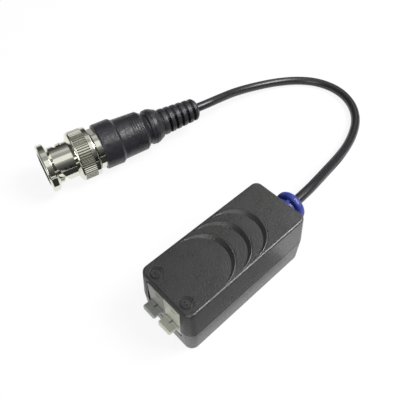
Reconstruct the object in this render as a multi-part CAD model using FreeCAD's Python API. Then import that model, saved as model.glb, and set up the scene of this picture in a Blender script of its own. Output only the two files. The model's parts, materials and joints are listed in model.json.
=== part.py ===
import FreeCAD, Part
import math
import os

# Passive video balun: a two-piece moulded housing with a push-lever terminal at one end and a short
# coaxial pigtail with a bayonet plug at the other. Lengths are in millimetres and angles in degrees.
# The model is drawn about the middle of the housing, floor at z = 0, +X towards the cable.

V = FreeCAD.Vector
UP = V(0, 0, 1)
LENGTHWAYS = V(1, 0, 0)
ACROSS = V(0, 1, 0)

# Housing: outside
lid_length = 37.5
lid_width = 16.2
lid_corner = 1.8
housing_height = 16.3
seam_height = 7.9
seam_flare = 0.6            # how far each wall leans out from the lid down to the seam
floor_taper = 0.3           # how far it comes back in from the seam to the floor
lid_edge_round = 0.55
floor_edge_round = 0.5
seam_groove = 0.15          # chamfer on each shell, which makes the parting line

# Housing: inside
wall = 1.35
lid_thickness = 1.3
floor_thickness = 1.4
smallest_corner = 0.3
tongue_height = 0.9
tongue_thickness = 0.6
tongue_gap = 0.08
press_post_radius = 0.9
press_post_gap = 0.1        # between a lid post and the board
snap_length = 8.0           # ridges on the tongue that click into grooves in the cover
snap_radius = 0.25
snap_proud = 0.15
snap_gap = 0.08
overshoot = 1.0             # how far a cutter runs past the face it opens

# Grip ridges on the lid: three crescents that rise from pointed ends to their middles
ridge_count = 3
ridge_radius = 7.4
ridge_height = 0.9
ridge_end_height = 0.1
ridge_inner_slope = 32.0
ridge_outer_slope = 66.0
ridge_crest_round = 0.2
ridge_first_x = -7.6
ridge_pitch = 5.15

# Polarity rings beside the terminal
polarity_ring_radius = 1.5
polarity_ring_width = 0.3
polarity_ring_depth = 0.15
polarity_ring_setback = 2.2     # from the lid's front edge
polarity_ring_spread = 4.9

# Circuit board
board_thickness = 1.2
board_height = 3.3              # underside above the floor
board_gap = 0.25
board_corner = 1.0
ledge_width = 2.2

# Terminal modules, one for each wire
module_width = 5.25
module_depth = 9.0
module_recess = 0.2             # face behind the seam's outline
module_lid_gap = 0.2
module_edge = 0.2
window_gap = 0.3
window_sill_drop = 0.2
wire_hole_radius = 0.7
wire_hole_height = 1.05         # axis above the board
wire_funnel_radius = 0.92
front_wall = 3.2
chamber_length = 4.4
chamber_gap = 0.15              # over the clamp spring's bend
bay_floor_height = 2.1
peg_radius = 0.7
peg_length = 0.6
peg_gap = 0.05
peg_depth = 7.6
peg_height = 8.4
test_slot_length = 1.5
test_slot_height = 0.35
test_slot_depth = 0.6
test_slot_level = 9.0
seam_slit_length = 0.6
seam_slit_height = 0.3
seam_slit_level = 2.2

# Push levers
lever_width = 3.9
lever_side_gap = 0.15
lever_reach = 2.65              # tab in front of the module's face
lever_tip_thickness = 0.95
lever_underside = 2.9           # above the board
lever_tip_rise = 0.1
lever_bevel = 0.35
lever_corner = 0.45
lever_root_height = 3.65
lever_hub_radius = 1.25
lever_hub_gap = 0.2
lever_nose_height = 2.15
lever_nose_length = 0.9
pivot_depth = 4.4
pivot_height = 4.7              # above the board
pivot_radius = 0.6
pivot_gap = 0.05
pivot_grip = 0.2                # length of a stub inside the side wall
lever_rib_count = 5
lever_rib_pitch = 0.34
lever_rib_cut = 0.16
lever_rib_depth = 0.12
lever_slot_width = 0.36
lever_slot_depth = 0.4
lever_slot_length = 1.8

# Clamp springs and contact pins
spring_thickness = 0.3
spring_width = 2.2
spring_bend = 0.9
spring_top_height = 2.5         # centre of the bend above the board
spring_foot_height = 0.5
spring_lean = 0.55
contact_thickness = 0.8
contact_height = 3.0
pin_width = 0.8
pin_hole_gap = 0.1
pin_stick_out = 1.2

# Transformer, surge suppressor and chips
core_outer_radius = 4.6
core_inner_radius = 2.5
core_height = 3.6
core_edge = 0.5
core_x = 0.6
core_y = -1.4
winding_turns = 14
winding_wire = 0.5
winding_gap = 0.03
suppressor_radius = 3.1
suppressor_thickness = 3.0
suppressor_edge = 0.7
suppressor_stand_off = 0.8
suppressor_x = 9.6
suppressor_y = -3.6
suppressor_lead = 0.6
suppressor_lead_spacing = 4.0
chip_count = 3
chip_length = 2.0
chip_width = 1.25
chip_height = 0.55
chip_pitch = 2.2
chip_x = 7.4
chip_y = 4.6

# Cable and its grommet
cable_diameter = 2.8
grommet_bore_gap = 0.06
grommet_hole_gap = 0.05
grommet_neck_radius = 2.9
grommet_collar_radius = 3.75
grommet_collar_length = 2.5
grommet_groove_radius = 3.2
grommet_groove_length = 0.8
grommet_flange_radius = 4.35
grommet_flange_length = 2.4
grommet_flange_round = 1.2
grommet_inner_radius = 3.2
grommet_inner_length = 1.1
grommet_wall_gap = 0.1
grommet_bridge_count = 4        # small bridges across the groove
grommet_bridge_width = 0.9
grommet_bridge_rise = 0.4
grommet_bridge_root = 0.25
gland_rise = 0.5                # cable's axis above the seam
core_lead_diameter = 0.9
braid_lead_diameter = 0.8
braid_lead_offset = 0.85
core_lead_y = 0.0
braid_lead_y = 2.2
lead_landing_x = 11.9
braid_lead_straight = 1.6

# Bayonet plug, measured along its axis from the front rim
plug_rim_x = -15.64
plug_rim_y = 57.4
plug_heading = -12.2            # from the rim towards the cable
plug_roll = 59.0                # of the bayonet slots about the axis
coupling_diameter = 14.8
rim_diameter = 14.2
rim_thickness = 2.0
rim_chamfer = 0.4
rim_round = 0.15
rim_skirt = 0.9                 # length of the cone from the rim down to the neck
neck_diameter = 10.9
neck_bore = 9.85
shoulder_start = 8.3
shoulder_length = 0.8
knurl_start = 9.6
knurl_end = 13.3
knurl_ridges = 64
knurl_depth = 0.3
knurl_crest = 0.3               # flat top of a ridge, as a share of the pitch
coupling_length = 14.8
coupling_round = 0.5
slot_width = 2.2
slot_entry = 2.5
slot_rise = 3.2
slot_turn = 88.0
slot_lock_diameter = 2.55
slot_lug_space = 0.25           # channel's depth beyond the neck's outside
slot_shell_gap = 0.2
shell_start = 1.5
shell_diameter = 8.1
shell_bore = 6.9
shell_depth = 8.6               # how far the bore reaches from the rim
collar_start = 9.2
collar_length = 1.2
collar_clearance = 0.15
gasket_seat = 1.1              # length of the narrower seat in front of the collar
gasket_seat_depth = 0.2
gasket_thickness = 1.0
gasket_clearance = 0.2
gasket_grip = 0.03
shank_diameter = 7.6
shank_clearance = 0.1
shank_end = 21.0
shank_bore = 5.2
washer_thickness = 0.5
washer_clearance = 0.1
wave_thickness = 0.25
wave_count = 3
wave_gap = 0.05
coupling_travel = 1.0
travel_reserve = 0.1
backnut_start = 15.2
backnut_end = 16.8
backnut_diameter = 12.2
backnut_flat = 11.2
fit_gap = 0.03
insulator_front = 4.6
insulator_bore_gap = 0.04
pin_diameter = 1.35
pin_shoulder_diameter = 2.1
pin_tip = 2.4
pin_tip_diameter = 0.7
pin_taper = 0.9
pin_end = 16.0
pin_tail = 1.0                  # pin behind the insulator
screen_diameter = 1.8           # the cable's screen, drawn over its inner conductor
screen_thickness = 0.3
screen_gap = 0.1
screen_reach = 2.0              # how far it goes into the shank's bore
screen_flare = 2.5              # length over which it widens to that bore

# Moulded strain relief behind the plug
boot_front_diameter = 13.8
boot_collar_diameter = 13.9
boot_collar_end = 22.0
boot_collar_round = 0.45
boot_step = 0.9
boot_barrel_front = 12.5
boot_barrel_rear = 12.0
boot_barrel_end = 30.5
boot_groove_start = 26.9
boot_groove_count = 5
boot_groove_pitch = 0.74
boot_groove_width = 0.35
boot_groove_depth = 0.25
boot_waist_at = 32.3
boot_waist_diameter = 9.2
boot_bulb_front = 32.8
boot_bulb_at = 33.9
boot_bulb_diameter = 11.0
boot_bulb_fall = 36.6
boot_bulb_rear = 9.0
boot_line_width = 0.25          # fine groove round the bulb
boot_line_depth = 0.15
boot_rib_start = 37.2
boot_rib_count = 6
boot_rib_pitch = 2.13
boot_rib_front = 8.2
boot_rib_rear = 6.96
boot_rib_depth = 0.45
boot_rib_flank = 0.42
boot_rib_round = 0.5
boot_soft_round = 0.3
boot_slot_width = 1.0
boot_slot_radius = 2.3
boot_slot_span = 82.0
boot_slot_facing = 249.0        # middle of the slots on one side, from straight down
boot_end = 49.9
boot_end_diameter = 5.4
boot_end_slope = 0.8
cable_grip = 4.4                # length of cable inside the boot
cable_bore_gap = 0.06

# The cable's route lies free between its two ends: chosen points, each above the floor it lies on
cable_route = [
    (41.8, 2.2, 5.8),
    (54.3, 4.5, 3.2),
    (63.6, 7.2, 2.0),
    (72.0, 11.3, 1.5),
    (77.6, 17.2, 1.45),
    (80.1, 24.4, 1.5),
    (78.9, 32.0, 1.45),
    (74.4, 38.0, 1.5),
    (67.2, 42.6, 1.9),
    (58.4, 45.4, 3.0),
    (50.6, 46.5, 4.5),
    (43.4, 46.3, 6.1),
]
straight_exit = 4.1             # cable in line with the grommet beyond its mouth
straight_entry = 3.2            # and with the plug behind its boot

# Places that follow from the sizes above
lid_top = housing_height
lid_underside = housing_height - lid_thickness
board_top = board_height + board_thickness
seam_half_length = lid_length / 2 + seam_flare
terminal_face = -(seam_half_length - module_recess)
module_top = lid_underside - module_lid_gap
wire_axis = board_top + wire_hole_height
pivot_x = terminal_face + pivot_depth
pivot_z = board_top + pivot_height
bay_width = lever_width + 2 * lever_side_gap
gland_height = seam_height + gland_rise
rear_wall_outside = seam_half_length
rear_wall_inside = seam_half_length - wall
grommet_mouth = rear_wall_outside + grommet_collar_length + grommet_groove_length + grommet_flange_length
cable_radius = cable_diameter / 2
plug_height = coupling_diameter / 2
cable_cut = boot_end - cable_grip
housing_shift = (lever_reach - terminal_face - grommet_mouth) / 2
module_centres = {"left": module_width / 2, "right": -module_width / 2}


def wall_flare(z):
    """How far the housing's outside stands beyond the lid's outline at a height."""
    if z >= seam_height:
        return seam_flare * (housing_height - z) / (housing_height - seam_height)
    return seam_flare - floor_taper * (seam_height - z) / seam_height


def grommet_inner_end():
    """Where the grommet's inner flange ends, clear of the cover's leaning wall."""
    flange_top = gland_height + grommet_inner_radius
    wall_there = lid_length / 2 + wall_flare(flange_top) - wall
    return wall_there - grommet_wall_gap - grommet_inner_length


def rounded_rectangle(length, width, corner, z):
    """A closed wire about the vertical axis, with tangent corner arcs."""
    a, b = length / 2, width / 2
    corner = min(max(corner, smallest_corner), 0.45 * min(length, width))
    edges = []
    for quarter in range(4):
        angle = 90.0 * quarter
        sx = (1, -1, -1, 1)[quarter]
        sy = (1, 1, -1, -1)[quarter]
        centre = V(sx * (a - corner), sy * (b - corner), z)
        edges.append(Part.makeCircle(corner, centre, UP, angle, angle + 90.0))
    wire = []
    for quarter, arc in enumerate(edges):
        following = edges[(quarter + 1) % 4]
        wire.append(arc)
        wire.append(Part.makeLine(arc.Vertexes[-1].Point, following.Vertexes[0].Point))
    return Part.Wire(wire)


def housing_outline(z, inset):
    """The housing's cross-section at a height, drawn in by an inset."""
    grow = wall_flare(z) - inset
    return rounded_rectangle(lid_length + 2 * grow, lid_width + 2 * grow, lid_corner + grow, z)


def housing_solid(low, high, inset):
    """The tapered body between two heights on the same side of the seam."""
    return Part.makeLoft([housing_outline(low, inset), housing_outline(high, inset)], True, True)


def edges_at_height(shape, z):
    """The edges that lie wholly in one horizontal plane."""
    found = []
    for edge in shape.Edges:
        box = edge.BoundBox
        if abs(box.ZMin - z) < 1e-4 and abs(box.ZMax - z) < 1e-4:
            found.append(edge)
    return found


def circles_at(shape, x, radius):
    """The circular edges about a lengthways axis, at one X and of one radius."""
    found = []
    for edge in shape.Edges:
        box = edge.BoundBox
        if box.XLength < 1e-4 and abs(box.XMin - x) < 1e-4 and abs(box.ZLength / 2 - radius) < 1e-3:
            found.append(edge)
    return found


def block(x0, x1, y0, y1, z0, z1):
    """A box between two values on each axis."""
    return Part.makeBox(x1 - x0, y1 - y0, z1 - z0, V(x0, y0, z0))


def extrude_across(points, y0, y1):
    """A solid with a side profile in X and Z, from one Y to another."""
    ring = [V(x, y0, z) for x, z in points]
    face = Part.Face(Part.makePolygon(ring + [ring[0]]))
    return face.extrude(V(0, y1 - y0, 0))


def corner_arc(before, corner, after, radius):
    """The arc of one radius that rounds the corner between two straight runs."""
    back = (before - corner).normalize()
    ahead = (after - corner).normalize()
    half_turn = (math.pi - back.getAngle(ahead)) / 2
    setback = radius * math.tan(half_turn)
    depth = radius / math.cos(half_turn) - radius
    middle = (back + ahead).normalize()
    return Part.Arc(corner + back * setback, corner + middle * depth, corner + ahead * setback)


def rounded_ring(profile):
    """A closed wire through (station, radius) points; a third number rounds that corner."""
    points = [V(corner[1], 0, corner[0]) for corner in profile]
    rounds = []
    for index, corner in enumerate(profile):
        here = points[index]
        following = points[(index + 1) % len(points)]
        if len(corner) == 3:
            arc = corner_arc(points[index - 1], here, following, corner[2])
            rounds.append((arc.StartPoint, arc.EndPoint, arc))
        else:
            rounds.append((here, here, None))
    edges = []
    for index, (entry, leave, arc) in enumerate(rounds):
        edges.append(Part.makeLine(rounds[index - 1][1], entry))
        if arc:
            edges.append(arc.toShape())
    return Part.Wire(edges)


def turned(profile, axis=UP, centre=V(0, 0, 0), span=360):
    """A solid of revolution from profile points along an axis."""
    solid = Part.Face(rounded_ring(profile)).revolve(V(0, 0, 0), UP, span)
    solid.Placement = FreeCAD.Placement(centre, FreeCAD.Rotation(UP, axis))
    return solid


def tube_along(points, diameter, report=None):
    """Straight runs joined by tangent arcs, each as large as its two runs allow."""
    lines = []
    start = points[0]
    radii = []
    for before, corner, after in zip(points, points[1:], points[2:]):
        back = before - corner
        ahead = after - corner
        half_turn = (math.pi - back.getAngle(ahead)) / 2
        radii.append(0.45 * min(back.Length, ahead.Length) / math.tan(half_turn))
        arc = corner_arc(before, corner, after, radii[-1])
        lines.append(Part.makeLine(start, arc.StartPoint))
        lines.append(arc.toShape())
        start = arc.EndPoint
    lines.append(Part.makeLine(start, points[-1]))
    path = Part.Wire(lines)
    heading = points[1] - points[0]
    section = Part.Wire(Part.makeCircle(diameter / 2, points[0], heading))
    tube = path.makePipeShell([section], True, False)
    if report:
        ideal = math.pi * diameter ** 2 / 4 * path.Length
        print(report, "length %.1f mm, volume %.4f of ideal" % (path.Length, tube.Volume / ideal))
        print(report, "radii", " ".join("%.1f" % radius for radius in radii))
        print(report, "runs", " ".join("%.2f" % (b - a).Length for a, b in zip(points, points[1:])))
    return tube


# Housing shells
def terminal_window():
    """The opening in the front wall that the terminal modules fill."""
    half = module_width + window_gap
    outside = -seam_half_length - overshoot
    inside = -lid_length / 2 + wall + seam_flare
    return block(outside, inside, -half, half, board_top - window_sill_drop, lid_underside)


def gland_hole():
    """The round opening for the grommet's neck, partly in each shell."""
    radius = grommet_neck_radius + grommet_hole_gap
    start = V(rear_wall_inside - overshoot, 0, gland_height)
    return Part.makeCylinder(radius, wall + 2 * overshoot, start, LENGTHWAYS)


def snap_bar(side, radius):
    """A round bar along the tongue; the ridge on it and the groove for it share its axis."""
    z = seam_height + tongue_height / 2
    tongue_outside = lid_width / 2 + wall_flare(z) - (wall - tongue_thickness)
    y = side * (tongue_outside - (snap_radius - snap_proud))
    length = snap_length + 2 * (radius - snap_radius)
    return Part.makeCylinder(radius, length, V(-length / 2, y, z), LENGTHWAYS)


def grip_ridge(x):
    """One crescent: a ring with a rounded crest, leaning into the lid so that only its rear half rises."""
    lean = math.asin((ridge_height - ridge_end_height) / ridge_radius)
    root = lid_thickness / 2
    drop = ridge_height + root
    inside = drop / math.tan(math.radians(ridge_inner_slope))
    outside = drop / math.tan(math.radians(ridge_outer_slope))
    ring = turned([(-drop, ridge_radius - inside), (0, ridge_radius, ridge_crest_round),
                   (-drop, ridge_radius + outside)])
    ring.Placement = FreeCAD.Placement(
        V(x, 0, lid_top + ridge_end_height), FreeCAD.Rotation(ACROSS, -math.degrees(lean)))
    half = ridge_radius + outside
    rear_half = block(x - ridge_radius / 2, x + half, -half, half, lid_top - root, lid_top + ridge_height)
    return ring.common(rear_half)


def polarity_ring(side):
    """A shallow ring groove in the lid; the sign stands inside it."""
    centre = V(-lid_length / 2 + polarity_ring_setback, side * polarity_ring_spread, lid_top)
    floor = centre - UP * polarity_ring_depth
    outer = Part.makeCylinder(polarity_ring_radius + polarity_ring_width / 2, overshoot, floor)
    inner = Part.makeCylinder(polarity_ring_radius - polarity_ring_width / 2, overshoot, floor)
    return outer.cut(inner)


def board_corners():
    """Middles of the board's four corner ledges."""
    reach = board_half_length() - ledge_width / 2
    spread = board_half_width() - ledge_width / 2
    return [(sx * reach, sy * spread) for sx in (-1, 1) for sy in (-1, 1)]


def housing_cover():
    """Upper shell: sloped walls, a rabbet for the base's tongue, grip ridges and polarity rings."""
    shell = housing_solid(seam_height, housing_height, 0)
    shell = shell.makeFillet(lid_edge_round, edges_at_height(shell, housing_height))
    shell = shell.makeChamfer(seam_groove, edges_at_height(shell, seam_height))
    shell = shell.cut(housing_solid(seam_height, lid_underside, wall))
    rabbet_top = seam_height + tongue_height + tongue_gap
    rabbet_inset = wall - tongue_thickness - tongue_gap
    shell = shell.cut(housing_solid(seam_height, rabbet_top, rabbet_inset))
    for x, y in board_corners():
        if x > 0:
            length = lid_underside - board_top - press_post_gap
            foot = V(x, y, board_top + press_post_gap)
            shell = shell.fuse(Part.makeCylinder(press_post_radius, length + lid_thickness / 2, foot))
    for index in range(ridge_count):
        shell = shell.fuse(grip_ridge(ridge_first_x + index * ridge_pitch))
    for side in (-1, 1):
        shell = shell.cut(polarity_ring(side))
        shell = shell.cut(snap_bar(side, snap_radius + snap_gap))
    return shell.cut(terminal_window()).cut(gland_hole()).removeSplitter()


def housing_base():
    """Lower shell: sloped walls, a tongue with snap ridges, and corner ledges for the board."""
    shell = housing_solid(0, seam_height, 0)
    shell = shell.makeFillet(floor_edge_round, edges_at_height(shell, 0))
    shell = shell.makeChamfer(seam_groove, edges_at_height(shell, seam_height))
    shell = shell.cut(housing_solid(floor_thickness, seam_height, wall))
    tongue_top = seam_height + tongue_height
    tongue = housing_solid(seam_height, tongue_top, wall - tongue_thickness)
    tongue = tongue.cut(housing_solid(seam_height, tongue_top, wall))
    shell = shell.fuse(tongue)
    for side in (-1, 1):
        shell = shell.fuse(snap_bar(side, snap_radius))
    for x, y in board_corners():
        outward = V(math.copysign(1, x), math.copysign(1, y), 0)
        near = V(x, y, 0) - outward * (ledge_width / 2)
        far = V(x, y, 0) + outward * (ledge_width / 2 + board_gap + wall / 2)
        x0, x1 = sorted((near.x, far.x))
        y0, y1 = sorted((near.y, far.y))
        ledge = block(x0, x1, y0, y1, floor_thickness / 2, board_height)
        shell = shell.fuse(ledge.common(housing_solid(0, seam_height, wall / 2)))
    return shell.cut(terminal_window()).cut(gland_hole()).removeSplitter()


# Circuit board and what stands on it
def board_half_length():
    return lid_length / 2 + seam_flare - floor_taper - wall - board_gap


def board_half_width():
    return lid_width / 2 + seam_flare - floor_taper - wall - board_gap


def pin_place(side):
    """Where a module's solder pin goes through the board."""
    depth = front_wall + chamber_length - contact_thickness / 2
    return V(terminal_face + depth, module_centres[side], 0)


def circuit_board():
    """A plate on the base's ledges, with holes for the contact pins and the suppressor's leads."""
    outline = rounded_rectangle(2 * board_half_length(), 2 * board_half_width(), board_corner, board_height)
    board = Part.Face(outline).extrude(UP * board_thickness)
    for side in module_centres:
        place = pin_place(side)
        half = pin_width / 2 + pin_hole_gap
        board = board.cut(block(place.x - half, place.x + half, place.y - half, place.y + half,
                                board_height - overshoot, board_top + overshoot))
    for place in suppressor_leads():
        board = board.cut(Part.makeCylinder(
            suppressor_lead / 2 + pin_hole_gap, board_thickness + 2 * overshoot,
            V(place.x, place.y, board_height - overshoot)))
    return board


def transformer_core():
    """A ferrite ring lying on its lowest turns of wire."""
    foot = V(core_x, core_y, board_top + winding_wire + winding_gap)
    ring = Part.makeCylinder(core_outer_radius, core_height, foot)
    ring = ring.cut(Part.makeCylinder(core_inner_radius, core_height, foot))
    return ring.makeChamfer(core_edge, [edge for edge in ring.Edges if len(edge.Vertexes) == 1])


def transformer_winding():
    """Turns of enamelled wire round the ring's section, the same angle apart."""
    foot = board_top
    inner_x = core_inner_radius - winding_gap
    outer_x = core_outer_radius + winding_gap
    top = foot + core_height + 2 * (winding_wire + winding_gap)
    outside = block(inner_x - winding_wire, outer_x + winding_wire,
                    -winding_wire / 2, winding_wire / 2, foot, top)
    crosswise = [e for e in outside.Edges if abs(e.BoundBox.YLength - winding_wire) < 1e-6]
    outside = outside.makeFillet(winding_wire, crosswise)
    hollow = block(inner_x, outer_x, -winding_wire, winding_wire, foot + winding_wire, top - winding_wire)
    turn = outside.cut(hollow)
    turns = []
    for index in range(winding_turns):
        copy = turn.copy()
        copy.rotate(V(0, 0, 0), UP, 360.0 * index / winding_turns)
        copy.translate(V(core_x, core_y, 0))
        turns.append(copy)
    return Part.makeCompound(turns)


def suppressor_leads():
    """Where the suppressor's two leads go through the board."""
    half = suppressor_lead_spacing / 2
    return [V(suppressor_x - half, suppressor_y, 0), V(suppressor_x + half, suppressor_y, 0)]


def surge_suppressor():
    """A coated disc on two straight leads."""
    centre = V(suppressor_x, suppressor_y - suppressor_thickness / 2,
               board_top + suppressor_stand_off + suppressor_radius)
    disc = Part.makeCylinder(suppressor_radius, suppressor_thickness, centre, ACROSS)
    rims = [edge for edge in disc.Edges if len(edge.Vertexes) == 1]
    disc = disc.makeFillet(suppressor_edge, rims)
    for place in suppressor_leads():
        foot = V(place.x, place.y, board_height - pin_stick_out / 2)
        lead = Part.makeCylinder(suppressor_lead / 2, centre.z - foot.z, foot)
        disc = disc.fuse(lead)
    return disc


def chip_parts():
    """A row of small ceramic chips soldered flat."""
    chips = []
    for index in range(chip_count):
        x = chip_x - index * chip_pitch
        chip = block(x - chip_width / 2, x + chip_width / 2, chip_y - chip_length / 2,
                     chip_y + chip_length / 2, board_top, board_top + chip_height)
        chips.append(chip)
    return Part.makeCompound(chips)


# Push-lever terminal
def at_face(points):
    """Profile points given as depth behind the face and height above the board."""
    return [(terminal_face + depth, board_top + height) for depth, height in points]


def terminal_module(side):
    """A moulded block with a wire hole, a lever bay above it and a spring chamber behind it."""
    middle = module_centres[side]
    inner_side = -1 if side == "left" else 1
    half = module_width / 2
    body = block(terminal_face, terminal_face + module_depth, middle - half, middle + half,
                 board_top, module_top)
    front = [e for e in body.Edges if abs(e.BoundBox.XMax - terminal_face) < 1e-6]
    body = body.makeChamfer(module_edge, front)
    hub_front = pivot_depth - lever_hub_radius - lever_hub_gap
    hub_rear = pivot_depth + lever_hub_radius + lever_hub_gap
    hub_top = pivot_height + lever_hub_radius + lever_hub_gap
    ceiling = lever_root_height + lever_side_gap + lever_bevel
    chamber_rear = front_wall + chamber_length
    chamber_height = spring_top_height + spring_bend + chamber_gap
    bay = extrude_across(at_face([
        (-overshoot, bay_floor_height), (front_wall, bay_floor_height), (front_wall, -overshoot),
        (chamber_rear, -overshoot), (chamber_rear, chamber_height), (hub_rear, chamber_height),
        (hub_rear, hub_top), (hub_front, hub_top), (hub_front, ceiling), (-overshoot, ceiling)]),
        middle - bay_width / 2, middle + bay_width / 2)
    body = body.cut(bay)
    hole_length = bay_width + 2 * (pivot_grip + pivot_gap)
    body = body.cut(Part.makeCylinder(pivot_radius + pivot_gap, hole_length,
                                      V(pivot_x, middle - hole_length / 2, pivot_z), ACROSS))
    entry = V(terminal_face - overshoot, middle, wire_axis)
    body = body.cut(Part.makeCylinder(wire_hole_radius, front_wall + 2 * overshoot, entry, LENGTHWAYS))
    funnel = wire_funnel_radius - wire_hole_radius
    body = body.cut(Part.makeCone(wire_funnel_radius, wire_hole_radius, funnel,
                                  V(terminal_face, middle, wire_axis), LENGTHWAYS))
    slot_side = middle - test_slot_length
    body = body.cut(block(terminal_face - overshoot, terminal_face + test_slot_depth, slot_side, middle,
                          board_top + test_slot_level, board_top + test_slot_level + test_slot_height))
    edge = middle + inner_side * half
    slit = sorted((edge - inner_side * seam_slit_length, edge + inner_side * overshoot))
    body = body.cut(block(terminal_face - overshoot, terminal_face + test_slot_depth, slit[0], slit[1],
                          board_top + seam_slit_level, board_top + seam_slit_level + seam_slit_height))
    peg_centre = V(terminal_face + peg_depth, -peg_length, board_top + peg_height)
    if side == "left":
        peg = Part.makeCylinder(peg_radius, peg_length + half, peg_centre, ACROSS)
        return body.fuse(peg)
    socket_start = peg_centre - ACROSS * peg_gap
    socket = Part.makeCylinder(peg_radius + peg_gap, peg_length + peg_gap + overshoot, socket_start, ACROSS)
    return body.cut(socket)


def push_lever(side):
    """A rocking lever: ribbed tab in front, hub with two stubs, and a nose that opens the spring."""
    middle = module_centres[side]
    y0 = middle - lever_width / 2
    y1 = middle + lever_width / 2
    nose_front = front_wall + 2 * lever_side_gap
    nose_rear = nose_front + lever_nose_length
    tip_low = lever_underside + lever_tip_rise
    tip_top = tip_low + lever_tip_thickness
    body = extrude_across(at_face([
        (-lever_reach, tip_low), (-lever_reach, tip_top - lever_bevel),
        (-lever_reach + lever_bevel, tip_top), (0, lever_root_height),
        (pivot_depth / 2, lever_root_height + lever_tip_rise), (pivot_depth, pivot_height),
        (nose_rear, pivot_height), (nose_rear, lever_nose_height),
        (nose_front, lever_nose_height), (nose_front, lever_underside), (0, lever_underside)]), y0, y1)
    tip = terminal_face - lever_reach
    upright = [e for e in body.Edges if e.BoundBox.XMax - tip < 1e-6 and e.BoundBox.YLength < 1e-6]
    body = body.makeFillet(lever_corner, upright)
    hub = Part.makeCylinder(lever_hub_radius, lever_width, V(pivot_x, y0, pivot_z), ACROSS)
    stub_length = lever_width + 2 * (lever_side_gap + pivot_grip)
    stub = Part.makeCylinder(pivot_radius, stub_length, V(pivot_x, middle - stub_length / 2, pivot_z), ACROSS)
    body = body.fuse(hub).fuse(stub)
    rib_start = -lever_reach + lever_bevel + lever_rib_cut
    fall = (tip_top - lever_root_height) / (lever_reach - lever_bevel)
    for index in range(lever_rib_count):
        depth = rib_start + index * lever_rib_pitch
        level = board_top + tip_top - fall * (depth + lever_reach - lever_bevel) - lever_rib_depth
        x = terminal_face + depth
        body = body.cut(block(x, x + lever_rib_cut, y0 - overshoot, y1 + overshoot,
                              level, level + overshoot))
    slot_level = board_top + lever_root_height - lever_slot_depth
    slot = block(terminal_face - lever_slot_length / 2, terminal_face + lever_slot_length / 2,
                 middle - lever_slot_width / 2, middle + lever_slot_width / 2,
                 slot_level, slot_level + lever_slot_depth + overshoot)
    return body.cut(slot).removeSplitter()


def clamp_spring(side):
    """A bent leaf: back leg on the contact, a round bend on top and a front leg that grips the wire."""
    middle = module_centres[side]
    y0 = middle - spring_width / 2
    y1 = middle + spring_width / 2
    back = terminal_face + front_wall + chamber_length - contact_thickness
    centre_x = back - spring_bend
    bend_z = board_top + spring_top_height
    foot_z = board_top + spring_foot_height
    back_leg = block(back - spring_thickness, back, y0, y1, foot_z, bend_z)
    ring = Part.makeCylinder(spring_bend, spring_width, V(centre_x, y0, bend_z), ACROSS)
    ring = ring.cut(Part.makeCylinder(spring_bend - spring_thickness, spring_width,
                                      V(centre_x, y0, bend_z), ACROSS))
    bend = ring.common(block(centre_x - spring_bend, back, y0, y1, bend_z, bend_z + spring_bend))
    front = centre_x - spring_bend
    front_leg = extrude_across([
        (front, bend_z), (front + spring_thickness, bend_z),
        (front + spring_thickness - spring_lean, foot_z), (front - spring_lean, foot_z)], y0, y1)
    return back_leg.fuse(bend).fuse(front_leg).removeSplitter()


def contact_pin(side):
    """A flat contact against the chamber's rear wall, with a square tail soldered through the board."""
    middle = module_centres[side]
    place = pin_place(side)
    half = contact_thickness / 2
    plate = block(place.x - half, place.x + half, middle - spring_width / 2, middle + spring_width / 2,
                  board_top, board_top + contact_height)
    tail = block(place.x - pin_width / 2, place.x + pin_width / 2, middle - pin_width / 2,
                 middle + pin_width / 2, board_height - pin_stick_out, board_top + contact_height / 2)
    return plate.fuse(tail).removeSplitter()


# Cable, grommet and inner leads
def cable_grommet():
    """A soft bush near the seam: inner flange, neck through the wall, collar, bridged groove, flange."""
    bore = cable_radius + grommet_bore_gap
    inner_start = grommet_inner_end()
    collar_start_x = rear_wall_outside + grommet_wall_gap
    collar_end = rear_wall_outside + grommet_collar_length
    groove_end = collar_end + grommet_groove_length
    inner_stop = inner_start + grommet_inner_length
    bush = turned([
        (inner_start, bore), (inner_start, grommet_inner_radius), (inner_stop, grommet_inner_radius),
        (inner_stop, grommet_neck_radius), (collar_start_x, grommet_neck_radius),
        (collar_start_x, grommet_collar_radius), (collar_end, grommet_collar_radius),
        (collar_end, grommet_groove_radius), (groove_end, grommet_groove_radius),
        (groove_end, grommet_flange_radius), (grommet_mouth, grommet_flange_radius),
        (grommet_mouth, bore)], LENGTHWAYS, V(0, 0, gland_height))
    inner_round = 0.8 * min(grommet_flange_round, grommet_flange_radius - grommet_groove_radius)
    for x, size in ((grommet_mouth, grommet_flange_round), (groove_end, inner_round)):
        bush = bush.makeFillet(size, circles_at(bush, x, grommet_flange_radius))
    half = grommet_bridge_width / 2
    for index in range(grommet_bridge_count):
        bridge = block(collar_end - grommet_bridge_root, groove_end + grommet_bridge_root, -half, half,
                       grommet_groove_radius - grommet_bridge_root,
                       grommet_groove_radius + grommet_bridge_rise)
        bridge.rotate(V(0, 0, 0), LENGTHWAYS, 360.0 * index / grommet_bridge_count)
        bridge.translate(V(0, 0, gland_height))
        bush = bush.fuse(bridge)
    return bush


def plug_point(station):
    """A point on the plug's axis."""
    heading = math.radians(plug_heading)
    return V(plug_rim_x + station * math.cos(heading), plug_rim_y + station * math.sin(heading), plug_height)


def cable():
    """The coaxial cable, in line with the grommet and with the plug and free in between."""
    start = V(grommet_inner_end(), 0, gland_height)
    outside = V(grommet_mouth + straight_exit, 0, gland_height)
    middle = [V(x, y, z) for x, y, z in cable_route]
    entry = plug_point(boot_end + straight_entry)
    end = plug_point(cable_cut)
    return tube_along([start, outside] + middle + [entry, end], cable_diameter, "cable")


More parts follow.
